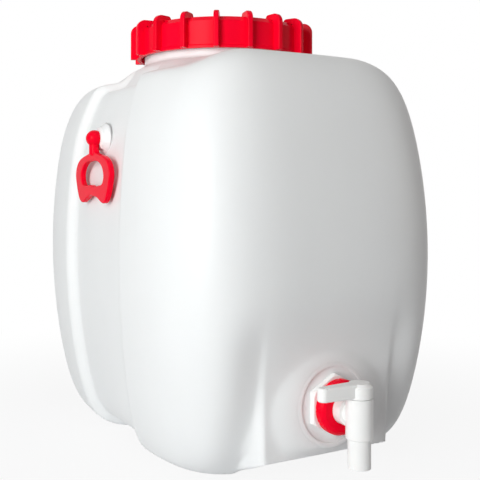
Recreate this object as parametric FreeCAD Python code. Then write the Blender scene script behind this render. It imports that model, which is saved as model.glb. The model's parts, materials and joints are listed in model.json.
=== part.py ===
import FreeCAD, Part
import math
import os
from FreeCAD import Vector

# Plastic barrel with a ribbed screw lid, a tap on a moulded boss and two drop handles.
# Millimetres, Z up, z = 0 on the ground. The tap is on the front, at -Y, and the handles are at -X and +X.
# The pieces are made about the neck's axis, and then moved along Y so that the origin is
# under the middle of the whole object, from the tap to the back.

# Barrel body
half_width = 130.0          # at the belly, across the handles
half_depth = 181.0          # at the belly, from the axis to the front
belly_height = 167.5        # where the body is widest
shoulder_height = 331.0     # the flat of the shoulder
plan_power = 4.4            # squareness of the level section at the belly
foot_power = 10.0           # squareness of the lower corner, seen from the side
shoulder_power = 7.5        # squareness of the upper corner
foot_taper = 0.165          # share by which the body narrows towards the ground
shoulder_taper = 0.15       # share by which it narrows towards the shoulder
wall = 2.5

# The shoulder sinks above the channels
sag_depth = 12.0
sag_start = 45.0            # from here across, the shoulder falls
sag_run = 55.0              # over this distance
sag_end = 165.0             # and it has risen again this far to the front and back
sag_rise = 70.0             # over this distance
sag_low = 250.0             # nothing sinks below this height

# Base
recess_height = 8.0         # the middle of the base stands this far above the ground
foot_flat = 0.4             # the feet are ground flat by this much
recess_share = 0.55         # size of the recess, as a share of the base
recess_blend = 0.16
base_share = 0.40           # the flat middle of the base

# Channel round the waist, between the two lobes
channel_depth = 8.0
channel_share = 0.335       # half the channel's width, as a share of the half depth
channel_blend = 0.035       # half the width of each flank, in the same share
channel_fade = 0.45         # the channel runs out this near the neck

# Neck
neck_radius = 72.0
neck_wall = 4.0
neck_root_rise = 4.0        # the shoulder sweeps up this far into the neck
neck_root_share = 0.35
neck_top = shoulder_height + 29
neck_lip = 1.5
thread_lead = 6.0
thread_height = 2.8
thread_foot = 3.2           # width of a thread at its root
thread_crest = 1.6
thread_gap = 0.7            # between the crest of one thread and the other part's wall
neck_thread_turns = 1.9
lid_thread_turns = 1.4

# Lid
lid_bottom = neck_top - 19
lid_rim = neck_top + 8
lid_wall = 2.5
lid_top_wall = 3.0
lid_rib_count = 18
lid_rib_reach = 7.0         # how far a rib stands out of the skirt
lid_rib_turn = 17.6         # angle of the first rib from +X, in degrees
lid_rib_width = 4.6
lid_rib_rise = 4.6          # how far it stands above the rim
lid_rib_round = 8.0         # its outer top corner
lid_bevel = 4.0
lid_lip_reach = 1.0
lid_lip_height = 2.0
lid_well_inset = 14.0       # the middle of the lid, inside this, is a little sunk
seal_thickness = 2.0
seal_width = 6.0
seal_gap = 0.05             # room above and below the seal, unpressed

# Front round the tap: a shallow valley, and in it an upright plinth with a raised underside
valley_depth = 6.0
valley_reach = 100.0        # half its width, where it has run out
valley_head = 92.0          # it runs out between these heights
valley_top = 152.0
valley_foot = 20.0          # and below this one
front_run = 30.0            # all this is full so far in front of the underside's start
plinth_face = half_depth - 16.0    # distance from the axis
plinth_half_width = 56.0
plinth_flank = 8.0          # width of each of its flanks
plinth_toe = 4.0            # the plinth begins at this height
plinth_rise = 14.0          # and is complete this much higher
underside_start = half_depth - 73  # the middle of the base rises from here to the front
underside_slope = 0.36
fold = 4.0                  # how softly the faces of the plinth meet

# Round boss of the tap, on the plinth
tap_height = 60.0
boss_face = plinth_face + 7.5
boss_radius = 30.0
pad_radius = 28.5
pad_face = boss_face - 1           # the pad is sunk into the boss's face by this
boss_foot_radius = 53.0
boss_low = 18.0             # the boss runs out at this height
boss_fade = 14.0
boss_fold = 1.5
land_wall = 5.0             # the wall is this thick behind the pad

# Outlet bush, welded into the wall
bush_across_flats = 40.8
bush_flange = 5.0
bush_corner = 1.6
bush_bore = 8.0
bush_shank_radius = 14.0
bush_weld_gap = 0.05
spigot_radius = 14.0
spigot_length = 4.5
union_lead = 1.8
union_thread_height = 0.9

# Union nut, gasket and tap
nut_radius = 20.5
nut_length = 9.6
nut_bevel = 1.4
nut_gap = 0.5               # between the nut and the bush's flange
nut_grip_count = 12
nut_grip_radius = 0.9
fit_gap = 0.3
gasket_thickness = 1.2
collar_radius = 13.4
collar_thickness = 2.0
hub_radius = 11.2
axis_reach = pad_face + 31.5       # distance of the tap's upright axis from the barrel's axis
passage_radius = 4.5
sleeve_radius = 9.9
sleeve_bottom = 42.7
sleeve_top = 72.0
sleeve_bore = 7.2
sleeve_floor = 47.0
spout_bottom = 21.8
spout_radius = 8.45
spout_bore = 5.2
lead_in = 0.6

# Plug with its lever
plug_gap = 0.06
cap_top = 83.0
cap_gap = 0.4
cap_radius = 9.9
cap_bevel = 2.6
lever_length = 36.0
lever_height = 10.0
lever_root_width = 12.0
lever_tip_width = 9.0
lever_round = 1.6
lever_notch = 1.0
notch_from_tip = 4.6
snap_height = 0.45
snap_width = 1.6
snap_level = 69.6
snap_gap = 0.25             # between the plug's snap bead and its groove
ring_section = 0.9          # radius of the rubber rings' section
ring_squash = 0.03
ring_room = 0.15            # between a rubber ring and the sides of its groove
upper_ring_level = 66.6
lower_ring_level = 51.5
port_radius = 4.3

# Handles, which hang plumb from ball heads in sockets on the channel's floor
handle_top_level = 265.0    # centre of the ball
handle_ball_radius = 7.2
handle_neck_radius = 4.5
handle_thickness = 5.0
handle_width = 84.0
handle_widest_level = 234.0
handle_shoulder_level = 250.0
handle_feet_level = 209.5
handle_feet_apart = 52.0
handle_bar_bottom = 215.5
handle_bar_top = 224.0
handle_opening_top = 245.6
handle_opening_width = 54.0
handle_edge_round = 1.3
handle_wall_gap = 2.8       # between the feet and the wall
handle_pip = 1.2
socket_gap = 0.2            # round the ball
socket_radius = 10.5
socket_rise = 2.6           # how far the boss stands out past the ball's middle, to hold it in
socket_slope = 3.5          # how much wider the boss is at the wall
socket_round = 2.5
slot_gap = 0.8              # beside and behind the handle's neck

# Grid of the body's surface
around = 190
flank_extra = 1.6           # extra density of the grid's lines at the channel's flanks
front_extra = 1.2           # and round the tap
row_angles = (38, 47, 75, 126, 146, 180)
row_counts = (8, 8, 26, 12, 11, 10)


def smooth(x):
    """Rises from 0 to 1, level at both ends."""
    x = min(max(x, 0.0), 1.0)
    return x * x * x * (x * (6 * x - 15) + 10)


def generatrix(lift):
    """Half width, half depth, squareness, height and share of the body at an angle of lift.

    The angle is 0 at the middle of the base, a quarter turn at the belly and a half turn at the neck.
    """
    out, down = math.sin(lift), math.cos(lift)
    power = foot_power if down > 0 else shoulder_power
    reach = (abs(out) ** power + abs(down) ** power) ** (-1 / power)
    share, drop = max(reach * out, 0.0), reach * down
    if down > 0:
        narrow = 1 - foot_taper * drop * drop
        height = (belly_height + foot_flat) * (1 - drop) - foot_flat
        return half_width * narrow * share, half_depth * narrow * share, plan_power, height, share
    narrow = 1 - shoulder_taper * drop * drop
    root = 1 - min(share / neck_root_share, 1.0)
    rise = neck_root_rise * (1 - math.sqrt(1 - root * root))
    return (neck_radius + (half_width * narrow - neck_radius) * share,
            neck_radius + (half_depth * narrow - neck_radius) * share,
            2 + (plan_power - 2) * share,
            belly_height - (shoulder_height - belly_height) * drop + rise, share)


def plain_skin(turn, lift):
    """A point of the body without its channel and the tap's plinth and boss."""
    a, b, power, z, share = generatrix(lift)
    c, s = math.cos(turn), math.sin(turn)
    reach = (abs(c) ** power + abs(s) ** power) ** (-1 / power)
    return Vector(a * reach * c, b * reach * s, z)


def outward(surface, turn, lift, step=1e-4):
    """The unit normal of a surface, pointing out of the body."""
    along = surface(turn + step, lift) - surface(turn - step, lift)
    up = surface(turn, lift + step) - surface(turn, lift - step)
    return along.cross(up).normalize()


def soft_max(a, b, softness):
    """The greater of two numbers, with a rounded corner where they are equal."""
    return (a + b + math.hypot(a - b, softness)) / 2


def tap_front(x, y, z):
    """Moves a point of the front into the valley, onto the plinth or onto the round boss of the tap."""
    front = -y
    ahead = smooth((front - underside_start) / front_run)
    beside = smooth((valley_reach - abs(x)) / (valley_reach - plinth_half_width))
    above = smooth((valley_top - z) / (valley_top - valley_head))
    front -= valley_depth * ahead * beside * above * smooth(z / valley_foot)
    middle = smooth((plinth_half_width + plinth_flank - abs(x)) / plinth_flank)
    upright = ahead * middle * smooth((z - plinth_toe) / plinth_rise) * smooth(2 * (1 - z / belly_height))
    front += (soft_max(front, plinth_face, fold) - front) * upright
    under = underside_slope * (front - underside_start)
    z += (soft_max(z, under, fold) - z) * middle * smooth((front - underside_start) / fold)
    radius = math.hypot(x, z - tap_height)
    cone = (boss_face - plinth_face) * max(radius - boss_radius, 0.0) / (boss_foot_radius - boss_radius)
    boss = soft_max(front, boss_face - cone, boss_fold)
    share = ahead * smooth((z - boss_low) / boss_fade)
    share *= smooth((boss_foot_radius + 2 * boss_fade - radius) / boss_fade)
    return -(front + (boss - front) * share), z


def skin(turn, lift):
    """A point of the outside of the body."""
    point = plain_skin(turn, lift)
    a, b, power, z, share = generatrix(lift)
    base = math.cos(lift) > 0
    recess = smooth((recess_share - share) / recess_blend + 0.5) if base else 0.0
    across = abs(point.y) / b
    groove = smooth((channel_share - across) / (2 * channel_blend) + 0.5) * (1 - recess)
    if not base:
        groove *= smooth(share / channel_fade)
    if groove > 0:
        point = point - outward(plain_skin, turn, lift) * (channel_depth * groove)
    point.z += recess_height * recess
    if not base:
        sunk = smooth((abs(point.x) - sag_start) / sag_run) * smooth((sag_end - abs(point.y)) / sag_rise)
        point.z -= sag_depth * sunk * smooth((point.z - sag_low) / sag_rise) * smooth(2 * share)
    if point.y < 0:
        point.y, point.z = tap_front(point.x, point.y, point.z)
    return point


def lining(turn, lift):
    """A point of the inside of the body."""
    return skin(turn, lift) - outward(skin, turn, lift, 1e-3) * wall


def spread(count):
    """Angles round the body, closer together where the density is greater."""
    fine = 7200
    total, sums = 0.0, [0.0]
    for i in range(fine):
        total += density(2 * math.pi * (i + 0.5) / fine)
        sums.append(total)
    angles, i = [], 0
    for k in range(count):
        wanted = total * k / count
        while sums[i + 1] < wanted:
            i += 1
        angles.append(2 * math.pi * (i + (wanted - sums[i]) / (sums[i + 1] - sums[i])) / fine)
    return angles


def density(turn):
    """1, and more near the four flanks of the channel and on the front."""
    across = abs(math.sin(turn))
    flank = math.exp(-((across - channel_share) / (2.2 * channel_blend)) ** 2)
    return 1 + flank_extra * flank + front_extra * smooth((-math.sin(turn) - 0.8) / 0.08)


def steps(first, last, count):
    """Evenly spaced angles, in radians, from degrees."""
    return [math.radians(first + (last - first) * i / count) for i in range(count)]


def closed_solid(surface, turns, lifts, low_level, high_level):
    """A solid inside a smooth surface laid over a grid, with flat ends."""
    grid = [[surface(turn, lift) for lift in lifts] for turn in turns]
    for column in grid:
        column[0].z = low_level
        column[-1].z = high_level
    columns, rows = len(turns), len(lifts)
    body = Part.BSplineSurface()
    body.buildFromPolesMultsKnots(grid, [1] * (columns + 1), [4] + [1] * (rows - 4) + [4],
                                  list(range(columns + 1)), list(range(rows - 2)), True, False, 3, 3)
    side = body.toShape()
    ends = [Part.Face(Part.Wire(edge)) for edge in side.Edges if edge.isClosed()]
    shell = Part.Shell([side] + ends)
    shell.sewShape()
    solid = Part.Solid(shell)
    if solid.Volume < 0:
        solid.reverse()
    return solid


def body_lifts():
    """Angles of lift of the grid's rows: close together at the corners and beside the tap."""
    rows, first = [], math.degrees(math.atan(base_share))
    for last, count in zip(row_angles, row_counts):
        rows += steps(first, last, count)
        first = last
    return rows + [math.pi]


def ring(outer, inner, low, high):
    """A plain ring round the barrel's axis."""
    tube = Part.makeCylinder(outer, high - low, Vector(0, 0, low))
    return tube.cut(Part.makeCylinder(inner, high - low, Vector(0, 0, low)))


def revolved(points, base=Vector(0, 0, 0), axis=Vector(0, 0, 1)):
    """A solid of revolution of a closed outline of points."""
    face = Part.Face(Part.makePolygon(points + [points[0]]))
    return face.revolve(base, axis, 360)


def helical_thread(radius, outward_sign, foot, crest, height, lead, turns, start):
    """A thread ridge that winds round the Z axis, with its root sunk a little into its wall."""
    sunk = 0.3
    root, tip = radius - outward_sign * sunk, radius + outward_sign * height
    path = Part.makeHelix(lead, lead * turns, radius)
    path.translate(Vector(0, 0, start))
    corners = [Vector(root, 0, start - foot / 2), Vector(tip, 0, start - crest / 2),
               Vector(tip, 0, start + crest / 2), Vector(root, 0, start + foot / 2)]
    profile = Part.makePolygon(corners + [corners[0]])
    return Part.Wire(path).makePipeShell([profile], True, True)


def channel_floor(level):
    """How far the floor of the channel is from the barrel's axis, at a height."""
    low, high = math.radians(60), math.radians(130)
    for _ in range(40):
        middle = (low + high) / 2
        if skin(math.pi, middle).z < level:
            low = middle
        else:
            high = middle
    return -skin(math.pi, low).x


def handle_pivot():
    """Centre of the ball of the handle at -X."""
    reach = channel_floor(handle_feet_level) + handle_wall_gap + handle_thickness / 2
    return Vector(-reach, 0, handle_top_level)


def mirrored(shape):
    """The same shape on the other side of the barrel."""
    return shape.mirror(Vector(0, 0, 0), Vector(1, 0, 0))


def handle_socket():
    """A round boss on the floor of the channel, at -X, before its socket is cut."""
    face = handle_pivot() - Vector(socket_rise, 0, 0)
    height = -face.x - channel_floor(handle_top_level) + wall / 2
    cone = Part.makeCone(socket_radius + socket_slope, socket_radius, height,
                         face + Vector(height, 0, 0), Vector(-1, 0, 0))
    rim = [e for e in cone.Edges if e.isClosed() and e.BoundBox.XMax < face.x + socket_gap]
    return cone.makeFillet(socket_round, rim)


def socket_space():
    """The hollow of the boss: a ball seat, and a slot in which the handle's neck swings up."""
    pivot = handle_pivot()
    seat = Part.makeSphere(handle_ball_radius + socket_gap, pivot)
    half = handle_neck_radius + slot_gap
    reach = 2 * (socket_radius + socket_slope)
    slot = Part.makeBox(reach, 2 * half, reach, pivot + Vector(half - reach, -half, -reach))
    return seat.fuse(slot)


def make_barrel():
    neck_start = shoulder_height + neck_root_rise
    turns, lifts = spread(int(around)), body_lifts()
    outside = closed_solid(skin, turns, lifts, recess_height, neck_start)
    hollow = closed_solid(lining, turns, lifts, recess_height + wall, neck_start)
    big = 4 * half_depth
    outside = outside.cut(Part.makeBox(big, big, big, Vector(-big / 2, -big / 2, -big)))

    neck = Part.makeCylinder(neck_radius, neck_top - neck_start + 4, Vector(0, 0, neck_start - 4))
    neck = neck.makeChamfer(neck_lip, [e for e in neck.Edges if abs(e.BoundBox.ZMin - neck_top) < 1e-6])
    socket = handle_socket()
    body = outside.fuse([neck, socket, mirrored(socket)])
    body = body.cut(front_cylinder(pad_radius, pad_face, 2 * half_depth))
    bore = Part.makeCylinder(neck_radius - neck_wall, neck_top - neck_start + 5 * neck_wall,
                             Vector(0, 0, neck_start - 2.5 * neck_wall))
    thick = front_cylinder(boss_radius, pad_face - land_wall, 2 * half_depth)
    body = body.cut(hollow.fuse(bore).cut(thick))
    space = socket_space()
    hole = front_cylinder(bush_shank_radius + bush_weld_gap, pad_face - 2 * land_wall, pad_face + 1)
    body = body.cut([space, mirrored(space), hole])
    return body.fuse(helical_thread(neck_radius, 1, thread_foot, thread_crest, thread_height, thread_lead,
                                    neck_thread_turns, thread_start))


thread_start = lid_bottom + thread_foot / 2 + thread_lead / 2


def make_lid():
    skirt = neck_radius + thread_height + thread_gap + lid_wall
    inside = skirt - lid_wall
    ceiling = neck_top + seal_thickness + 2 * seal_gap
    well = ceiling + lid_top_wall
    outer = revolved([Vector(0, 0, ceiling), Vector(inside, 0, ceiling), Vector(inside, 0, lid_bottom),
                      Vector(skirt + lid_lip_reach, 0, lid_bottom),
                      Vector(skirt + lid_lip_reach, 0, lid_bottom + lid_lip_height),
                      Vector(skirt, 0, lid_bottom + lid_lip_height + lid_lip_reach),
                      Vector(skirt, 0, lid_rim - lid_bevel), Vector(skirt - lid_bevel, 0, lid_rim),
                      Vector(skirt - lid_well_inset, 0, lid_rim), Vector(skirt - lid_well_inset, 0, well),
                      Vector(0, 0, well)])
    top = lid_rim + lid_rib_rise
    tip = skirt + lid_rib_reach
    heel = skirt - lid_bevel - lid_rib_reach
    half = lid_rib_width / 2
    corner = lid_rib_round
    bend = math.sqrt(0.5) * corner
    arc = Part.Arc(Vector(tip, -half, top - corner), Vector(tip - corner + bend, -half, top - corner + bend),
                   Vector(tip - corner, -half, top)).toShape()
    back = Part.Arc(Vector(heel + 3, -half, top), Vector(heel + 1, -half, top - 1.2),
                    Vector(heel, -half, lid_rim - 0.5)).toShape()
    inner_low = inside + 0.5
    outline = [arc, Part.makeLine(Vector(tip - corner, -half, top), Vector(heel + 3, -half, top)), back,
               Part.makeLine(Vector(heel, -half, lid_rim - 0.5), Vector(inner_low, -half, lid_rim - 0.5)),
               Part.makeLine(Vector(inner_low, -half, lid_rim - 0.5), Vector(inner_low, -half, lid_bottom)),
               Part.makeLine(Vector(inner_low, -half, lid_bottom), Vector(tip, -half, lid_bottom)),
               Part.makeLine(Vector(tip, -half, lid_bottom), Vector(tip, -half, top - corner))]
    rib = Part.Face(Part.Wire(Part.__sortEdges__(outline))).extrude(Vector(0, lid_rib_width, 0))
    long_edges = [e for e in rib.Edges
                  if abs(e.BoundBox.YMax - e.BoundBox.YMin) < 1e-6 and e.BoundBox.XMax > tip - corner - 1e-6
                  and e.BoundBox.ZMax > lid_bottom + 1]
    rib = rib.makeFillet(1.0, long_edges)
    ribs = []
    for i in range(int(lid_rib_count)):
        one = rib.copy()
        one.rotate(Vector(0, 0, 0), Vector(0, 0, 1), lid_rib_turn + 360 * i / lid_rib_count)
        ribs.append(one)
    lid = outer.multiFuse(ribs)
    return lid.fuse(helical_thread(inside, -1, thread_foot, thread_crest, thread_height, thread_lead,
                                   lid_thread_turns, thread_start + thread_lead / 2))


def make_lid_seal():
    low = neck_top + seal_gap
    outer = neck_radius + 1.0
    return ring(outer, outer - seal_width, low, low + seal_thickness)


def front_cylinder(radius, near, far):
    """A cylinder along the outlet, between two distances from the barrel's axis."""
    return Part.makeCylinder(radius, far - near, Vector(0, -near, tap_height), Vector(0, -1, 0))


def turned_front(outline):
    """A solid turned about the outlet's axis from pairs of distance and radius."""
    points = [Vector(radius, -reach, tap_height) for reach, radius in outline]
    return revolved(points, Vector(0, 0, tap_height), Vector(0, 1, 0))


flange_face = pad_face + bush_flange
spigot_face = flange_face + spigot_length
collar_back = spigot_face + gasket_thickness
collar_front = collar_back + collar_thickness
nut_back = flange_face + nut_gap
nut_front = nut_back + nut_length


def thread_rings(radius, sign, first, last):
    """The bush's and the nut's fine thread, as rings at its lead."""
    rings = []
    count = int((last - first) / union_lead)
    for i in range(count):
        middle = first + union_lead * (i + 0.5)
        half = union_lead * 0.3
        root, tip = radius - sign * 0.2, radius + sign * union_thread_height
        rings.append(turned_front([(middle - half, root), (middle - half * 0.3, tip),
                                   (middle + half * 0.3, tip), (middle + half, root)]))
    return rings


def make_outlet_bush():
    radius = bush_across_flats / math.sqrt(3)
    corners = [Vector(radius * math.cos(math.radians(60 * i + 30)), -pad_face,
                      tap_height + radius * math.sin(math.radians(60 * i + 30))) for i in range(6)]
    hexagon = Part.Face(Part.makePolygon(corners + [corners[0]])).extrude(Vector(0, -bush_flange, 0))
    dome = turned_front([(pad_face, 0), (flange_face, 0), (flange_face, radius - bush_corner),
                         (flange_face - bush_corner, radius + fit_gap), (pad_face, radius + fit_gap)])
    core = spigot_radius - union_thread_height
    bush = hexagon.common(dome)
    bush = bush.fuse([front_cylinder(bush_shank_radius, pad_face - land_wall, pad_face),
                      front_cylinder(core, flange_face, spigot_face)]
                     + thread_rings(core, 1, flange_face + 0.7, spigot_face - 0.2))
    return bush.cut(front_cylinder(bush_bore, pad_face - 2 * land_wall, spigot_face + 1))


def make_tap_gasket():
    disc = front_cylinder(spigot_radius - union_thread_height, spigot_face, collar_back)
    return disc.cut(front_cylinder(bush_bore, spigot_face - 1, collar_back + 1))


def make_union_nut():
    inner = spigot_radius + fit_gap
    bevel = nut_bevel
    outline = [(nut_back, inner), (nut_back, nut_radius - bevel), (nut_back + bevel, nut_radius),
               (nut_front - 2.4 * bevel, nut_radius), (nut_front - 0.85 * bevel, nut_radius - bevel),
               (nut_front, nut_radius - 2.4 * bevel),
               (nut_front, hub_radius + fit_gap), (collar_front + fit_gap, hub_radius + fit_gap),
               (collar_front + fit_gap, inner)]
    nut = turned_front(outline)
    for i in range(int(nut_grip_count)):
        angle = 2 * math.pi * i / nut_grip_count
        centre = Vector(nut_radius * math.cos(angle), -nut_back + 1, tap_height + nut_radius * math.sin(angle))
        nut = nut.cut(Part.makeCylinder(nut_grip_radius, nut_length - 2, centre, Vector(0, -1, 0)))
    return nut


def make_tap_body():
    collar = front_cylinder(collar_radius, collar_back, collar_front)
    hub = front_cylinder(hub_radius, collar_front, axis_reach - sleeve_radius + 1.5)
    hub = hub.fuse(front_cylinder(sleeve_radius - 1.2, axis_reach - sleeve_radius, axis_reach))
    sleeve = Part.makeCylinder(sleeve_radius, sleeve_top - sleeve_bottom, Vector(0, -axis_reach, sleeve_bottom))
    spout = Part.makeCylinder(spout_radius, sleeve_bottom - spout_bottom, Vector(0, -axis_reach, spout_bottom))
    body = collar.fuse(hub).fuse(sleeve).fuse(spout)
    edges = [e for e in body.Edges if e.isClosed() and abs(e.BoundBox.ZMax - e.BoundBox.ZMin) < 1e-6
             and abs(e.BoundBox.ZMin - sleeve_bottom) < 1e-6 and e.Length > 2 * math.pi * (sleeve_radius - 0.1)]
    body = body.makeFillet(1.0, edges)
    body = body.cut(front_cylinder(passage_radius, collar_back - 1, axis_reach - 2))
    axis = Vector(0, -axis_reach, 0)
    bore = Part.makeCylinder(sleeve_bore, sleeve_top - sleeve_floor + 1, axis + Vector(0, 0, sleeve_floor))
    drop = Part.makeCylinder(spout_bore, sleeve_floor, axis + Vector(0, 0, spout_bottom - 1))
    groove = Part.makeCylinder(sleeve_bore + snap_height + snap_gap, snap_width + 2 * snap_gap,
                               axis + Vector(0, 0, snap_level - snap_width / 2 - snap_gap))
    mouth = Part.makeCone(spout_bore, spout_bore + lead_in, 2 * lead_in,
                          axis + Vector(0, 0, spout_bottom + 2 * lead_in), Vector(0, 0, -1))
    return body.cut([bore, drop, groove, mouth])


def plug_seal(level):
    """A rubber ring in the plug's groove, just touching the bore."""
    centre = sleeve_bore - ring_section - ring_squash
    return Part.makeTorus(centre, ring_section, Vector(0, -axis_reach, level))


def make_tap_plug():
    stem_radius = sleeve_bore - plug_gap
    axis = Vector(0, -axis_reach, 0)
    stem_bottom, cap_bottom = sleeve_floor + cap_gap, sleeve_top + cap_gap
    stem = Part.makeCylinder(stem_radius, cap_bottom - stem_bottom, axis + Vector(0, 0, stem_bottom))
    cap = Part.makeCylinder(cap_radius, cap_top - cap_bottom, axis + Vector(0, 0, cap_bottom))
    cap = cap.makeChamfer(cap_bevel, [e for e in cap.Edges if abs(e.BoundBox.ZMin - cap_top) < 1e-6])
    root, tip = lever_root_width / 2, lever_tip_width / 2
    round_start = lever_length - tip
    end = Part.Arc(Vector(-round_start, -tip, 0), Vector(-lever_length, 0, 0), Vector(-round_start, tip, 0))
    arm = Part.Wire([Part.makeLine(Vector(0, -root, 0), Vector(-round_start, -tip, 0)), end.toShape(),
                     Part.makeLine(Vector(-round_start, tip, 0), Vector(0, root, 0)),
                     Part.makeLine(Vector(0, root, 0), Vector(0, -root, 0))])
    arm.translate(axis + Vector(0, 0, cap_top - lever_height))
    lever = Part.Face(arm).extrude(Vector(0, 0, lever_height))
    lever = lever.makeFillet(lever_round, [e for e in lever.Edges if e.BoundBox.XMin < -1])
    notch = Part.makeBox(lever_notch, 2 * lever_root_width, lever_notch,
                         axis + Vector(-lever_length + notch_from_tip, -lever_root_width, cap_top - lever_notch))
    lever = lever.cut(notch)
    plug = stem.fuse(cap).fuse(lever)
    ring_bead = revolved([Vector(stem_radius - 0.5, 0, snap_level - snap_width / 2),
                          Vector(stem_radius + snap_height, 0, snap_level - snap_width / 6),
                          Vector(stem_radius + snap_height, 0, snap_level + snap_width / 6),
                          Vector(stem_radius - 0.5, 0, snap_level + snap_width / 2)])
    ring_bead.translate(axis)
    plug = plug.fuse(ring_bead)
    width = 2 * (ring_section + ring_room)
    floor = sleeve_bore - 2 * ring_squash - 2 * ring_section
    for level in (upper_ring_level, lower_ring_level):
        low = axis + Vector(0, 0, level - width / 2)
        groove = Part.makeCylinder(sleeve_bore + 1, width, low).cut(Part.makeCylinder(floor, width, low))
        plug = plug.cut(groove)
    port = Part.makeCylinder(port_radius, stem_radius + 1, axis + Vector(0, 0, tap_height), Vector(1, 0, 0))
    drop = Part.makeCylinder(port_radius, tap_height - sleeve_floor + 1, axis + Vector(0, 0, sleeve_floor - 1))
    return plug.cut(port.fuse(drop))


def smooth_outline(points, x):
    """A closed smooth curve in the plane at x, through points of half of it, from bottom to top."""
    half = [Vector(x, y, z) for y, z in points]
    other = [Vector(x, -y, z) for y, z in reversed(points) if y > 0]
    curve = Part.BSplineCurve()
    curve.interpolate(Points=half + other, PeriodicFlag=True)
    return Part.Wire(curve.toShape())


def make_handle():
    """The handle at -X, hanging down: a ball head, a round neck and a bell-shaped ring on two feet."""
    pivot = handle_pivot()
    face = pivot.x - handle_thickness / 2
    half, foot, inner = handle_width / 2, handle_feet_apart / 2, handle_opening_width / 2
    feet, widest, shoulder = handle_feet_level, handle_widest_level, handle_shoulder_level
    neck = handle_neck_radius
    outline = smooth_outline([(0, handle_bar_bottom), (foot * 0.45, handle_bar_bottom - 1.6),
                              (foot * 0.75, feet + 1.4), (foot, feet), (foot + 5.5, feet + 2.3),
                              (half - 4.6, feet + 10.5), (half - 1, widest - 5.5), (half, widest),
                              (half - 2, widest + 6.5), (half - 8, shoulder - 4), (half * 0.56, shoulder - 0.4),
                              (half * 0.28, shoulder + 1.6), (neck + 1.3, shoulder + 4), (neck - 0.8, shoulder + 8),
                              (neck * 0.4, shoulder + 10)], face)
    low, high = handle_bar_top, handle_opening_top
    window = smooth_outline([(0, low), (inner * 0.55, low + 0.4), (inner * 0.88, low + 2.2), (inner, low + 7),
                             (inner * 0.92, high - 7.5), (inner * 0.62, high - 2), (inner * 0.27, high - 0.2),
                             (0, high)], face)
    through = Vector(handle_thickness, 0, 0)
    plate = Part.Face(outline).extrude(through).cut(Part.Face(window).extrude(through))
    rims = [e for e in plate.Edges if e.BoundBox.XMax - e.BoundBox.XMin < 1e-6]
    plate = plate.makeFillet(handle_edge_round, rims)
    stem = Part.makeCylinder(neck, handle_top_level - shoulder, Vector(pivot.x, 0, shoulder))
    stem = stem.makeFillet(neck * 0.45, [e for e in stem.Edges if e.BoundBox.ZMax < shoulder + 1e-6])
    ball = Part.makeSphere(handle_ball_radius, pivot)
    pip = Part.makeCylinder(handle_pip, 2, pivot - Vector(handle_ball_radius + 1, 0, 0), Vector(1, 0, 0))
    return plate.fuse([stem, ball]).cut(pip)


middle_shift = (axis_reach + sleeve_radius - half_depth) / 2


def main():
    os.makedirs("parts", exist_ok=True)
    handle = make_handle()
    pieces = {
        "barrel": make_barrel(),
        "lid": make_lid(),
        "lid_seal": make_lid_seal(),
        "outlet_bush": make_outlet_bush(),
        "union_nut": make_union_nut(),
        "tap_gasket": make_tap_gasket(),
        "tap_body": make_tap_body(),
        "tap_plug": make_tap_plug(),
        "plug_seal_upper": plug_seal(upper_ring_level),
        "plug_seal_lower": plug_seal(lower_ring_level),
        "handle_left": handle,
        "handle_right": mirrored(handle),
    }
    for name, shape in pieces.items():
        solid = shape.Solids[0]
        solid.translate(Vector(0, middle_shift, 0))
        print(name, "valid", solid.isValid(), "solids", len(shape.Solids), "cm3 %.2f" % (solid.Volume / 1000))
        solid.exportStep("parts/" + name + ".step")


main()
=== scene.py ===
import json
import math
import bpy
import numpy as np
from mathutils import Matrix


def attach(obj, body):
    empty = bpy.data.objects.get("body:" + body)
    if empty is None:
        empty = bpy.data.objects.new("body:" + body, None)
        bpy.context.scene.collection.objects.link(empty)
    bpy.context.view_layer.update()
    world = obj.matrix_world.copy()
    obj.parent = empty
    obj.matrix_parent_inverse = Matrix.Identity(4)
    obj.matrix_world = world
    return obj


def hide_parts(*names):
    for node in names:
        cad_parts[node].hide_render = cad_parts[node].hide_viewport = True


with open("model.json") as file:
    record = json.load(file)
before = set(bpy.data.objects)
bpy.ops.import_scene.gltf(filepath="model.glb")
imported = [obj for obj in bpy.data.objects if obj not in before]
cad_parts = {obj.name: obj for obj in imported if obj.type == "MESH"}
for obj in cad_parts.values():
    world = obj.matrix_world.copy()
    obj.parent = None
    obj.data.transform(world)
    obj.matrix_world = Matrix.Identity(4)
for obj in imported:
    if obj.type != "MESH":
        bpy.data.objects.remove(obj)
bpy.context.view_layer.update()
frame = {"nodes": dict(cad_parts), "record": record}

nodes = frame["nodes"]
scene = bpy.context.scene
print("frame loaded")


# lengths are in millimetres, about the neck's axis, until a mesh is made
millimetre = 0.001
axisShift = 15.95  # the neck's axis stands this far behind the origin


def smooth(x):
    # rises from 0 to 1 as 6x^5 - 15x^4 + 10x^3, level at both ends
    x = np.clip(x, 0, 1)
    return x * x * x * (x * (6 * x - 15) + 10)


def softMax(a, b, softness):
    # the greater of two fields with a hyperbola for a corner: (a + b + sqrt((a - b)^2 + s^2)) / 2
    return (a + b + np.hypot(a - b, softness)) / 2


def equalAngles(count):
    return np.linspace(0, 2 * np.pi, count, endpoint=False)


def meshPiece(name, points, faces, material, body):
    # points in millimetres become a smooth mesh in metres, which rides on a body
    place = (np.asarray(points, float) + [0, axisShift, 0]) * millimetre
    mesh = bpy.data.meshes.new(name)
    mesh.from_pydata(place.tolist(), [], faces)
    mesh.validate()
    mesh.polygons.foreach_set("use_smooth", np.ones(len(mesh.polygons), bool))
    mesh.materials.append(material)
    mesh.update()
    piece = bpy.data.objects.new(name, mesh)
    scene.collection.objects.link(piece)
    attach(piece, body)
    print("piece", name, len(mesh.polygons), "faces")
    return piece


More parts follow.
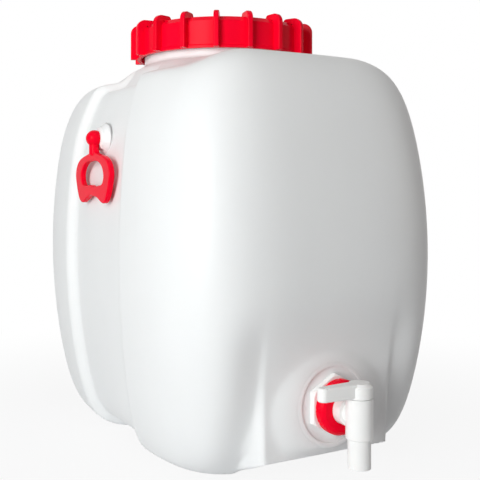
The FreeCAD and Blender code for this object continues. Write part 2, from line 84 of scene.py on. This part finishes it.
def gridFaces(rows, columns):
    # quads of a grid that is closed round its columns
    row, column = np.meshgrid(np.arange(rows - 1) * columns, np.arange(columns), indexing="ij")
    after = (column + 1) % columns
    quads = np.stack([row + column, row + after, row + columns + after, row + columns + column], -1)
    return quads.reshape(-1, 4).tolist()


def fanFaces(pole, row, columns, upward):
    # triangles from a pole to a row of the grid
    here = row * columns + np.arange(columns)
    after = row * columns + (np.arange(columns) + 1) % columns
    first, second = (here, after) if upward else (after, here)
    return np.stack([first, second, np.full(columns, pole)], -1).tolist()


def nodeGroup(name, inputs, outputs):
    group = bpy.data.node_groups.new(name, "ShaderNodeTree")
    for title, kind, value in inputs:
        made = group.interface.new_socket(name=title, in_out="INPUT", socket_type=kind)
        if value is not None:
            made.default_value = value
    for title, kind in outputs:
        group.interface.new_socket(name=title, in_out="OUTPUT", socket_type=kind)
    return group, group.nodes.new("NodeGroupInput"), group.nodes.new("NodeGroupOutput")


def addNode(tree, kind, values=None, links=None):
    node = tree.nodes.new(kind)
    for key, value in (values or {}).items():
        if key in node.inputs:
            node.inputs[key].default_value = value
        else:
            setattr(node, key, value)
    for key, source in (links or {}).items():
        tree.links.new(source, node.inputs[key])
    return node


def makeGrainGroup():
    # a moulded surface: long shallow waves of the mould plus a fine orange peel, as a height in metres
    group, start, end = nodeGroup(
        "mouldGrain",
        [("Vector", "NodeSocketVector", None), ("Peel Scale", "NodeSocketFloat", 900.0),
         ("Peel Height", "NodeSocketFloat", 0.00003), ("Wave Scale", "NodeSocketFloat", 14.0),
         ("Wave Height", "NodeSocketFloat", 0.0002), ("Stretch", "NodeSocketVector", (1.0, 1.0, 0.5))],
        [("Height", "NodeSocketFloat"), ("Cloud", "NodeSocketFloat")])
    stretched = addNode(group, "ShaderNodeVectorMath", {"operation": "MULTIPLY"},
                        {0: start.outputs["Vector"], 1: start.outputs["Stretch"]})
    waves = addNode(group, "ShaderNodeTexNoise", {"Detail": 2.0, "Roughness": 0.4},
                    {"Vector": stretched.outputs[0], "Scale": start.outputs["Wave Scale"]})
    peel = addNode(group, "ShaderNodeTexNoise", {"Detail": 1.0, "Roughness": 0.5},
                   {"Vector": start.outputs["Vector"], "Scale": start.outputs["Peel Scale"]})
    low = addNode(group, "ShaderNodeMath", {"operation": "MULTIPLY"},
                  {0: waves.outputs["Fac"], 1: start.outputs["Wave Height"]})
    high = addNode(group, "ShaderNodeMath", {"operation": "MULTIPLY_ADD"},
                   {0: peel.outputs["Fac"], 1: start.outputs["Peel Height"], 2: low.outputs[0]})
    group.links.new(high.outputs[0], end.inputs["Height"])
    group.links.new(waves.outputs["Fac"], end.inputs["Cloud"])
    return group


def makeScuffGroup():
    # sparse scuffs from handling: thin stretched streaks kept where a broad noise is high
    group, start, end = nodeGroup(
        "handlingScuffs",
        [("Vector", "NodeSocketVector", None), ("Scale", "NodeSocketFloat", 60.0),
         ("Stretch", "NodeSocketVector", (1.0, 1.0, 0.12)), ("Amount", "NodeSocketFloat", 0.3)],
        [("Scuff", "NodeSocketFloat")])
    stretched = addNode(group, "ShaderNodeVectorMath", {"operation": "MULTIPLY"},
                        {0: start.outputs["Vector"], 1: start.outputs["Stretch"]})
    streaks = addNode(group, "ShaderNodeTexNoise", {"Detail": 5.0, "Roughness": 0.7, "Distortion": 0.4},
                      {"Vector": stretched.outputs[0], "Scale": start.outputs["Scale"]})
    places = addNode(group, "ShaderNodeTexNoise", {"Scale": 11.0, "Detail": 2.0},
                     {"Vector": start.outputs["Vector"]})
    thin = addNode(group, "ShaderNodeMapRange", {"From Min": 0.62, "From Max": 0.78},
                   {"Value": streaks.outputs["Fac"]})
    where = addNode(group, "ShaderNodeMapRange", {"From Min": 0.45, "From Max": 0.7},
                    {"Value": places.outputs["Fac"]})
    both = addNode(group, "ShaderNodeMath", {"operation": "MULTIPLY"},
                   {0: thin.outputs[0], 1: where.outputs[0]})
    scaled = addNode(group, "ShaderNodeMath", {"operation": "MULTIPLY", "use_clamp": True},
                     {0: both.outputs[0], 1: start.outputs["Amount"]})
    group.links.new(scaled.outputs[0], end.inputs["Scuff"])
    return group


grainGroup = makeGrainGroup()
scuffGroup = makeScuffGroup()


mixInputs, mixResult = (0, 6, 7), 2  # a Mix node's sockets for colours: factor, first, second and result


def mixColours(tree, factor, first, second):
    # first and second are sockets, or plain colours
    node = addNode(tree, "ShaderNodeMix", {"data_type": "RGBA"})
    for place, value in zip(mixInputs, (factor, first, second)):
        if isinstance(value, tuple):
            node.inputs[place].default_value = (*value, 1)
        else:
            tree.links.new(value, node.inputs[place])
    return node.outputs[mixResult]


def mouldedPlastic(name, look):
    # one moulded plastic: cloudy colour, satin roughness with scuffs, and the mould's grain as bump
    material = bpy.data.materials.new(name)
    material.use_nodes = True
    tree = material.node_tree
    shader = tree.nodes["Principled BSDF"]
    for key, value in look["shader"].items():
        shader.inputs[key].default_value = value
    place = addNode(tree, "ShaderNodeTexCoord")
    grain = addNode(tree, "ShaderNodeGroup", {"node_tree": grainGroup})
    scuffs = addNode(tree, "ShaderNodeGroup", {"node_tree": scuffGroup})
    for node, values in ((grain, look["grain"]), (scuffs, look["scuffs"])):
        for key, value in values.items():
            node.inputs[key].default_value = value
        tree.links.new(place.outputs["Object"], node.inputs["Vector"])
    cloud = addNode(tree, "ShaderNodeMapRange", {"From Min": 0.3, "From Max": 0.7},
                    {"Value": grain.outputs["Cloud"]})
    colour = mixColours(tree, cloud.outputs[0], look["colour"], look["cloudColour"])
    worn = mixColours(tree, scuffs.outputs["Scuff"], colour, look["scuffColour"])
    tree.links.new(worn, shader.inputs["Base Color"])
    roughness = {"To Min": look["roughness"], "To Max": look["scuffRoughness"]}
    rough = addNode(tree, "ShaderNodeMapRange", roughness, {"Value": scuffs.outputs["Scuff"]})
    tree.links.new(rough.outputs[0], shader.inputs["Roughness"])
    bump = addNode(tree, "ShaderNodeBump", {"Strength": look["bump"], "Distance": 1.0},
                   {"Height": grain.outputs["Height"]})
    tree.links.new(bump.outputs[0], shader.inputs["Normal"])
    print("material", name)
    return material


hdpeLook = {
    "colour": (0.88, 0.886, 0.886), "cloudColour": (0.85, 0.856, 0.858), "scuffColour": (0.72, 0.71, 0.69),
    "roughness": 0.42, "scuffRoughness": 0.58, "bump": 0.5,
    "shader": {"IOR": 1.5, "Subsurface Weight": 0.22, "Subsurface Radius": (1.0, 0.95, 0.9),
               "Subsurface Scale": 0.006, "Specular IOR Level": 0.28},
    "grain": {"Peel Scale": 420.0, "Peel Height": 0.00005, "Wave Scale": 16.0, "Wave Height": 0.0007,
              "Stretch": (1.0, 1.0, 0.35)},
    "scuffs": {"Scale": 70.0, "Stretch": (1.0, 1.0, 0.1), "Amount": 0.22},
}
redLook = {
    "colour": (0.96, 0.001, 0.026), "cloudColour": (0.90, 0.001, 0.021), "scuffColour": (0.9, 0.05, 0.07),
    "roughness": 0.24, "scuffRoughness": 0.36, "bump": 0.5,
    "shader": {"IOR": 1.5, "Specular IOR Level": 0.05, "Subsurface Weight": 0.05,
               "Subsurface Radius": (1.0, 0.1, 0.06), "Subsurface Scale": 0.002},
    "grain": {"Peel Scale": 700.0, "Peel Height": 0.00002, "Wave Scale": 40.0, "Wave Height": 0.00008,
              "Stretch": (1.0, 1.0, 1.0)},
    "scuffs": {"Scale": 120.0, "Stretch": (1.0, 1.0, 0.3), "Amount": 0.3},
}
tapLook = {
    "colour": (0.93, 0.925, 0.915), "cloudColour": (0.90, 0.895, 0.885), "scuffColour": (0.74, 0.72, 0.69),
    "roughness": 0.28, "scuffRoughness": 0.5, "bump": 0.5,
    "shader": {"IOR": 1.5, "Specular IOR Level": 0.3, "Subsurface Weight": 0.1,
               "Subsurface Radius": (1.0, 0.9, 0.8), "Subsurface Scale": 0.002},
    "grain": {"Peel Scale": 900.0, "Peel Height": 0.00002, "Wave Scale": 60.0, "Wave Height": 0.00006,
              "Stretch": (1.0, 1.0, 1.0)},
    "scuffs": {"Scale": 160.0, "Stretch": (1.0, 1.0, 0.3), "Amount": 0.35},
}
rubberLook = {
    "colour": (0.36, 0.36, 0.35), "cloudColour": (0.31, 0.31, 0.30), "scuffColour": (0.5, 0.5, 0.48),
    "roughness": 0.62, "scuffRoughness": 0.75, "bump": 0.6,
    "shader": {"IOR": 1.5},
    "grain": {"Peel Scale": 1600.0, "Peel Height": 0.00004, "Wave Scale": 90.0, "Wave Height": 0.00003,
              "Stretch": (1.0, 1.0, 1.0)},
    "scuffs": {"Scale": 200.0, "Stretch": (1.0, 1.0, 1.0), "Amount": 0.4},
}
hdpe = mouldedPlastic("naturalHdpe", hdpeLook)
red = mouldedPlastic("redGloss", redLook)
tapWhite = mouldedPlastic("tapWhite", tapLook)
rubber = mouldedPlastic("sealRubber", rubberLook)
finishes = {"natural_hdpe": hdpe, "red_gloss": red, "tap_white": tapWhite, "seal_rubber": rubber}
for part in frame["record"]["subparts"]:
    mesh = nodes[part["node"]].data
    mesh.materials.clear()
    mesh.materials.append(finishes[part["material_slot"]])


barrel = {
    "halfWidth": 130.0, "halfDepth": 181.0, "bellyHeight": 167.5, "shoulderHeight": 331.0, "wall": 2.5,
    "planPower": 4.4, "footPower": 10.0, "shoulderPower": 8.6, "footTaper": 0.165, "shoulderTaper": 0.15,
    "recessHeight": 8.0, "recessShare": 0.55, "recessBlend": 0.16, "footFlat": 0.4, "baseShare": 0.40,
    "channelDepth": 8.0, "channelShare": 0.335, "channelBlend": 0.035, "channelFade": 0.45,
    "sagDepth": 12.0, "sagStart": 45.0, "sagRun": 55.0, "sagEnd": 165.0, "sagRise": 70.0, "sagLow": 250.0,
    "neckRadius": 72.0, "neckWall": 4.0, "neckTop": 360.0, "neckLip": 1.5, "rootRise": 4.0,
    "rootShare": 0.35,
}
tapFront = {
    "valleyDepth": 6.0, "valleyReach": 100.0, "valleyHead": 92.0, "valleyTop": 152.0, "valleyFoot": 20.0,
    "run": 30.0, "plinthFace": 165.0, "plinthHalfWidth": 56.0, "plinthFlank": 8.0, "plinthToe": 4.0,
    "plinthRise": 14.0, "undersideStart": 108.0, "undersideSlope": 0.36, "fold": 4.0,
    "height": 60.0, "bossFace": 172.5, "bossRadius": 30.0, "padRadius": 28.5, "padFace": 171.5,
    "bossFoot": 53.0, "bossLow": 18.0, "bossFade": 14.0, "bossFold": 1.5, "bossBulge": 0.7,
    "padRun": 2.0,
}


# rows are spread between angles from straight down, in degrees, and columns by a density round the axis
barrelGrid = {
    "columns": 336, "rows": ((38, 8), (47, 14), (76, 52), (122, 22), (150, 30), (179.9, 18)),
    "liningBend": 60, "liningEnd": 176, "liningRows": (16, 34), "fineStep": 1e-4, "coarseStep": 0.01,
    "samples": 14400, "flankExtra": 1.6, "flankRun": 2.2, "frontExtra": 1.6, "frontFrom": 0.8,
    "frontRun": 0.08,
}
neckProfile = {"outside": (336.5, 342, 348, 354), "inside": (350, 338, 331.5), "edge": 0.2, "bevel": 0.4,
               "underLip": 0.6}


def plainSkin(turn, lift):
    # a superellipse in plan, |x/a|^n + |y/b|^n = 1, whose a, b, n and height follow one in the side view
    b = barrel
    out, down = np.sin(lift), np.cos(lift)
    foot = down > 0
    power = np.where(foot, b["footPower"], b["shoulderPower"])
    reach = (np.abs(out) ** power + np.abs(down) ** power) ** (-1 / power)
    share, drop = np.maximum(reach * out, 0), reach * down
    narrow = 1 - np.where(foot, b["footTaper"], b["shoulderTaper"]) * drop * drop
    root = 1 - np.minimum(share / b["rootShare"], 1)
    rise = b["rootRise"] * (1 - np.sqrt(1 - root * root))
    neck = b["neckRadius"]
    a, d = b["halfWidth"] * narrow, b["halfDepth"] * narrow
    wide = np.where(foot, a * share, neck + (a - neck) * share)
    deep = np.where(foot, d * share, neck + (d - neck) * share)
    square = np.where(foot, b["planPower"], 2 + (b["planPower"] - 2) * share)
    low = (b["bellyHeight"] + b["footFlat"]) * (1 - drop) - b["footFlat"]
    high = b["bellyHeight"] - (b["shoulderHeight"] - b["bellyHeight"]) * drop + rise
    c, s = np.cos(turn), np.sin(turn)
    rim = (np.abs(c) ** square + np.abs(s) ** square) ** (-1 / square)
    points = np.stack([wide * rim * c, deep * rim * s, np.where(foot, low, high)], -1)
    return points, share, deep, foot


def normals(surface, turn, lift, step):
    # the cross product of the surface's two central differences, made one long
    along = surface(turn + step, lift) - surface(turn - step, lift)
    up = surface(turn, lift + step) - surface(turn, lift - step)
    cross = np.cross(along, up)
    return cross / np.linalg.norm(cross, axis=-1, keepdims=True)


def tapShape(points):
    # the front sinks into a valley, then rises onto an upright plinth and a flat-topped boss
    t = tapFront
    x, z = points[..., 0], points[..., 2].copy()
    front = -points[..., 1]
    ahead = smooth((front - t["undersideStart"]) / t["run"])
    beside = smooth((t["valleyReach"] - np.abs(x)) / (t["valleyReach"] - t["plinthHalfWidth"]))
    above = smooth((t["valleyTop"] - z) / (t["valleyTop"] - t["valleyHead"]))
    front = front - t["valleyDepth"] * ahead * beside * above * smooth(z / t["valleyFoot"])
    middle = smooth((t["plinthHalfWidth"] + t["plinthFlank"] - np.abs(x)) / t["plinthFlank"])
    upright = ahead * middle * smooth((z - t["plinthToe"]) / t["plinthRise"])
    upright = upright * smooth(2 * (1 - z / barrel["bellyHeight"]))
    front = front + (softMax(front, t["plinthFace"], t["fold"]) - front) * upright
    under = t["undersideSlope"] * (front - t["undersideStart"])
    raised = middle * smooth((front - t["undersideStart"]) / t["fold"])
    z = z + (softMax(z, under, t["fold"]) - z) * raised
    radius = np.hypot(x, z - t["height"])
    run = np.maximum(radius - t["bossRadius"], 0) / (t["bossFoot"] - t["bossRadius"])
    fall = (t["bossFace"] - t["plinthFace"]) * run * (t["bossBulge"] * (run - 1) + 1)
    sunk = (t["bossFace"] - t["padFace"]) * smooth((t["padRadius"] - radius) / t["padRun"] + 1)
    boss = softMax(front, t["bossFace"] - fall - sunk, t["bossFold"])
    share = ahead * smooth((z - t["bossLow"]) / t["bossFade"])
    share = share * smooth((t["bossFoot"] + 2 * t["bossFade"] - radius) / t["bossFade"])
    front = front + (boss - front) * share
    changed = np.stack([x, -front, z], -1)
    return np.where(points[..., 1:2] < 0, changed, points)


def skin(turn, lift):
    # the plain skin, less a channel along its normals, with the base's recess, the sunken shoulder
    # above the channels and the shapes round the tap
    b = barrel
    points, share, deep, foot = plainSkin(turn, lift)
    recess = np.where(foot, smooth((b["recessShare"] - share) / b["recessBlend"] + 0.5), 0)
    across = np.abs(points[..., 1]) / deep
    groove = smooth((b["channelShare"] - across) / (2 * b["channelBlend"]) + 0.5) * (1 - recess)
    groove = np.where(foot, groove, groove * smooth(share / b["channelFade"]))
    out = normals(lambda u, v: plainSkin(u, v)[0], turn, lift, barrelGrid["fineStep"])
    points = points - out * (b["channelDepth"] * groove)[..., None]
    points[..., 2] += b["recessHeight"] * recess
    sunk = smooth((np.abs(points[..., 0]) - b["sagStart"]) / b["sagRun"])
    sunk = sunk * smooth((b["sagEnd"] - np.abs(points[..., 1])) / b["sagRise"]) * smooth(2 * share)
    points[..., 2] -= b["sagDepth"] * sunk * smooth((points[..., 2] - b["sagLow"]) / b["sagRise"])
    points[..., 2] = np.maximum(points[..., 2], 0)
    return tapShape(points)


def spreadTurns():
    # angles at equal steps of the summed density, which is higher at the channel's flanks and in front
    g, samples = barrelGrid, barrelGrid["samples"]
    fine = (np.arange(samples) + 0.5) / samples * 2 * np.pi
    across = np.abs(np.sin(fine))
    flank = np.exp(-((across - barrel["channelShare"]) / (g["flankRun"] * barrel["channelBlend"])) ** 2)
    ahead = smooth((-np.sin(fine) - g["frontFrom"]) / g["frontRun"])
    total = np.concatenate([[0], np.cumsum(1 + g["flankExtra"] * flank + g["frontExtra"] * ahead)])
    wanted = np.arange(g["columns"]) / g["columns"] * total[-1]
    return np.interp(wanted, total, np.arange(samples + 1) / samples * 2 * np.pi)


def spreadLifts(base):
    spans, start = [], base
    for end, count in barrelGrid["rows"]:
        spans.append(np.linspace(start, end, count, endpoint=False))
        start = end
    return np.radians(np.concatenate(spans + [[start]]))


def neckRings(turn):
    # circles up the neck's outside, over its lip and down its inside
    b, p = barrel, neckProfile
    outer, inner, top = b["neckRadius"], b["neckRadius"] - b["neckWall"], b["neckTop"]
    lip, edge, bevel = b["neckLip"], p["edge"], p["bevel"]
    profile = [(outer, level) for level in (*p["outside"], top - lip - p["underLip"])]
    profile += [(outer - edge, top - lip), (outer - lip, top - edge), (outer - lip - bevel, top),
                (inner + bevel, top), (inner, top - bevel)]
    profile += [(inner, level) for level in p["inside"]]
    radius, level = np.array(profile).T[..., None]
    return np.stack([radius * np.cos(turn), radius * np.sin(turn), level * np.ones_like(turn)], -1)


def makeBarrel():
    # rings from the base's middle up the outside, over the lip and down the inside, closed by two poles
    b, g = barrel, barrelGrid
    base = math.degrees(math.atan(b["baseShare"]))
    turn, lift = spreadTurns(), spreadLifts(base)
    outside = skin(*np.meshgrid(turn, lift))
    outside[0, :, 2] = b["recessHeight"]
    low, high = g["liningRows"]
    lining = np.radians(np.concatenate([np.linspace(base, g["liningBend"], low, endpoint=False),
                                        np.linspace(g["liningBend"], g["liningEnd"], high)]))
    turns, lifts = np.meshgrid(turn, lining)
    inside = skin(turns, lifts) - normals(skin, turns, lifts, g["coarseStep"]) * b["wall"]
    inside[0, :, 2] = b["recessHeight"] + b["wall"]
    rows = np.concatenate([outside, neckRings(turn), inside[::-1]])
    points = rows.reshape(-1, 3)
    poles = [[0, 0, b["recessHeight"]], [0, 0, b["recessHeight"] + b["wall"]]]
    faces = gridFaces(len(rows), g["columns"])
    faces += fanFaces(len(points), 0, g["columns"], False)
    faces += fanFaces(len(points) + 1, len(rows) - 1, g["columns"], True)
    points = np.concatenate([points, poles])
    piece = meshPiece("barrelShell", points, faces, hdpe, "barrel")
    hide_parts("barrel")


# metres from here on, apart from the small pieces of the barrel
cameraSet = {"place": (-0.3657, -0.6411, 0.224), "turn": -29.1, "lens": 60.0, "sensor": 36.0,
             "shift": (0.0379, -0.1125)}
cameraData = bpy.data.cameras.new("photoCamera")
cameraData.lens = cameraSet["lens"]
cameraData.sensor_width = cameraSet["sensor"]
cameraData.shift_x, cameraData.shift_y = cameraSet["shift"]
camera = bpy.data.objects.new("photoCamera", cameraData)
camera.location = cameraSet["place"]
camera.rotation_euler = (math.radians(90), 0, math.radians(cameraSet["turn"]))
scene.collection.objects.link(camera)
scene.camera = camera
scene.view_settings.view_transform = "Standard"


lamps = {
    "keyLamp": {"place": (-1.35, -0.85, 0.42), "target": (0, 0, 0.18), "size": (0.7, 0.9), "watts": 20.0,
                "colour": (0.98, 1.0, 0.995)},
    "topLamp": {"place": (-0.2, -0.5, 1.5), "target": (0, 0, 0.25), "size": (0.8, 0.8), "watts": 2.5,
                "colour": (1.0, 0.99, 0.97)},
    "fillLamp": {"place": (1.4, -0.8, 0.5), "target": (0, 0, 0.15), "size": (0.8, 0.8), "watts": 0.8,
                 "colour": (1.0, 0.76, 0.62)},
}


def areaLight(name, lamp):
    data = bpy.data.lights.new(name, "AREA")
    data.shape, (data.size, data.size_y) = "RECTANGLE", lamp["size"]
    data.energy, data.color = lamp["watts"], lamp["colour"]
    light = bpy.data.objects.new(name, data)
    light.location = lamp["place"]
    aim = np.array(lamp["target"]) - np.array(lamp["place"])
    tilt = math.atan2(math.hypot(aim[0], aim[1]), -aim[2])
    light.rotation_euler = (tilt, 0, math.atan2(aim[1], aim[0]) - math.pi / 2)
    scene.collection.objects.link(light)


for name, lamp in lamps.items():
    areaLight(name, lamp)


def either(tree, first, second):
    return addNode(tree, "ShaderNodeMath", {"operation": "MAXIMUM"}, {0: first, 1: second}).outputs[0]


def mixShaders(tree, factor, first, second, target):
    mixed = addNode(tree, "ShaderNodeMixShader", None,
                    {0: factor, 1: first.outputs[0], 2: second.outputs[0]})
    tree.links.new(mixed.outputs[0], addNode(tree, target).inputs["Surface"])


worldLook = {"shade": (1.0, 0.985, 0.97, 1), "shadeStrength": 0.165, "white": (1, 1, 1, 1)}


def makeWorld():
    # white to the camera, to reflections and to glass, and a dimmer even light on the object
    world = bpy.data.worlds.new("paleRoom")
    world.use_nodes = True
    scene.world = world
    tree = world.node_tree
    tree.nodes.clear()
    path = addNode(tree, "ShaderNodeLightPath")
    seen = either(tree, path.outputs["Is Camera Ray"], path.outputs["Is Transmission Ray"])
    shown = either(tree, seen, path.outputs["Is Glossy Ray"])
    dim = addNode(tree, "ShaderNodeBackground",
                  {"Color": worldLook["shade"], "Strength": worldLook["shadeStrength"]})
    white = addNode(tree, "ShaderNodeBackground", {"Color": worldLook["white"], "Strength": 1.0})
    mixShaders(tree, shown, dim, white, "ShaderNodeOutputWorld")


makeWorld()
floorLook = {"radius": 6.0, "corners": 96, "colour": (0.72, 0.73, 0.75, 1),
             "fade": {"From Min": 0.15, "From Max": 0.6, "To Min": 0.9, "To Max": 1.0,
                      "interpolation_type": "SMOOTHSTEP"}}


def makeFloor():
    # a round plain floor whose own shade fades to the white background away from the object
    angle = equalAngles(floorLook["corners"])
    ring = np.stack([np.cos(angle), np.sin(angle), np.zeros_like(angle)], -1) * floorLook["radius"]
    mesh = bpy.data.meshes.new("floor")
    mesh.from_pydata(ring.tolist(), [], [list(range(floorLook["corners"]))])
    floor = bpy.data.objects.new("floor", mesh)
    scene.collection.objects.link(floor)
    material = bpy.data.materials.new("paleFloor")
    material.use_nodes = True
    tree = material.node_tree
    tree.nodes.clear()
    place = addNode(tree, "ShaderNodeTexCoord")
    far = addNode(tree, "ShaderNodeVectorMath", {"operation": "LENGTH"}, {0: place.outputs["Object"]})
    fade = addNode(tree, "ShaderNodeMapRange", floorLook["fade"], {"Value": far.outputs["Value"]})
    path = addNode(tree, "ShaderNodeLightPath")
    shown = either(tree, path.outputs["Is Camera Ray"], path.outputs["Is Glossy Ray"])
    factor = addNode(tree, "ShaderNodeMath", {"operation": "MULTIPLY"}, {0: fade.outputs[0], 1: shown})
    matte = addNode(tree, "ShaderNodeBsdfDiffuse", {"Color": floorLook["colour"]})
    glow = addNode(tree, "ShaderNodeEmission", {"Color": (1, 1, 1, 1), "Strength": 1.0})
    mixShaders(tree, factor.outputs[0], matte, glow, "ShaderNodeOutputMaterial")
    mesh.materials.append(material)


makeFloor()
print("camera, light and floor")

makeBarrel()

socket = {
    "pivotX": 125.998, "level": 265.0, "ball": 7.4, "radius": 10.5, "rise": -3.0, "slope": 3.5,
    "round": 2.5, "wallX": 115.5, "slot": 5.3, "slotDepth": 5.0, "slotSoft": 1.5, "edge": 0.4,
    "poleAngle": 0.05, "columns": 72, "rimRows": 7, "seatRows": 12, "coneRows": (0.35, 0.7, 1.0),
}


def makeSocket(name, side):
    # a profile turned about the handle's level axis: a cone boss with a rounded rim, ball seat and slot
    s = socket
    face, columns = s["pivotX"] + s["rise"], s["columns"]
    mouth = math.sqrt(s["ball"] ** 2 - s["rise"] ** 2)
    depth = np.linspace(math.asin(s["rise"] / s["ball"]), s["poleAngle"] - np.pi / 2, s["seatRows"])[::-1]
    bend = np.linspace(0, np.pi / 2, s["rimRows"])
    down = np.array(s["coneRows"])
    radius = np.concatenate([s["ball"] * np.cos(depth), [mouth + s["edge"]],
                             s["radius"] - s["round"] * (1 - np.sin(bend)),
                             s["radius"] + s["slope"] * down])
    reach = np.concatenate([s["pivotX"] + s["ball"] * np.sin(depth), [face],
                            face - s["round"] * (1 - np.cos(bend)),
                            face - s["round"] - down * (face - s["round"] - s["wallX"])])
    angle = equalAngles(columns)
    radius, reach = radius[:, None], reach[:, None] * np.ones(columns)
    beside, below = radius * np.cos(angle), -radius * np.sin(angle)
    slot = smooth((s["slot"] - np.abs(beside)) / s["slotSoft"])
    slot = slot * smooth((below - mouth) / s["slotSoft"] + 1)
    reach = reach - slot * np.maximum(reach - (face - s["slotDepth"]), 0)
    points = np.stack([side * reach, beside, s["level"] - below], -1).reshape(-1, 3)
    poles = [[side * (s["pivotX"] - s["ball"]), 0, s["level"]], [side * s["wallX"], 0, s["level"]]]
    faces = gridFaces(len(radius), columns) + fanFaces(len(points), 0, columns, False)
    faces += fanFaces(len(points) + 1, len(radius) - 1, columns, True)
    if side > 0:
        faces = [corners[::-1] for corners in faces]
    meshPiece(name, np.concatenate([points, poles]), faces, hdpe, "barrel")


for name, side in (("handleSocketLeft", -1), ("handleSocketRight", 1)):
    makeSocket(name, side)

# pairs of distance out from the spot face's edge and height over the boss's face
outletRim = {"columns": 128, "profile": ((5.5, -3.2), (4.4, -0.42), (3, 0), (1.5, 0.3), (0.35, 0.3),
                                         (0.08, 0.2), (0, 0), (0, -3.2))}


def makeOutletRim():
    # the land round the outlet's spot face, a flat ring turned about the outlet's axis
    t, columns = tapFront, outletRim["columns"]
    out, over = np.array(outletRim["profile"]).T[..., None]
    radius, reach = t["padRadius"] + out, t["bossFace"] + over
    angle = equalAngles(columns)
    points = np.stack([radius * np.cos(angle), -reach * np.ones(columns),
                       t["height"] + radius * np.sin(angle)], -1).reshape(-1, 3)
    column = np.arange(columns)
    after, last = (column + 1) % columns, (len(radius) - 1) * columns
    seam = np.stack([last + column, last + after, after, column], -1).tolist()
    meshPiece("outletRim", points, gridFaces(len(radius), columns) + seam, hdpe, "barrel")


makeOutletRim()

neckThread = {"start": 345.6, "lead": 6.0, "turns": 1.9, "height": 2.8, "foot": 3.2, "crest": 1.6,
              "runout": 0.05, "sunk": 0.4, "rows": 260}


def makeNeckThread():
    # a helix on the neck, its section a trapezium that grows from nothing at both ends
    h = neckThread
    along = np.linspace(0, 1, h["rows"])
    turn = 2 * np.pi * h["turns"] * along[:, None]
    grown = smooth(along / h["runout"]) * smooth((1 - along) / h["runout"])
    level = h["start"] + h["lead"] * h["turns"] * along
    out, up = np.array([(-h["sunk"], -h["foot"] / 2), (-h["sunk"], h["foot"] / 2),
                        (h["height"], h["crest"] / 2), (h["height"], -h["crest"] / 2)]).T
    radius = barrel["neckRadius"] + np.where(out < 0, out, out * grown[:, None])
    points = np.stack([radius * np.cos(turn), radius * np.sin(turn), level[:, None] + up], -1)
    points = points.reshape(-1, 3)
    caps = [[3, 2, 1, 0], list(range(len(points) - 4, len(points)))]
    meshPiece("neckThread", points, gridFaces(h["rows"], 4) + caps, hdpe, "barrel")


makeNeckThread()
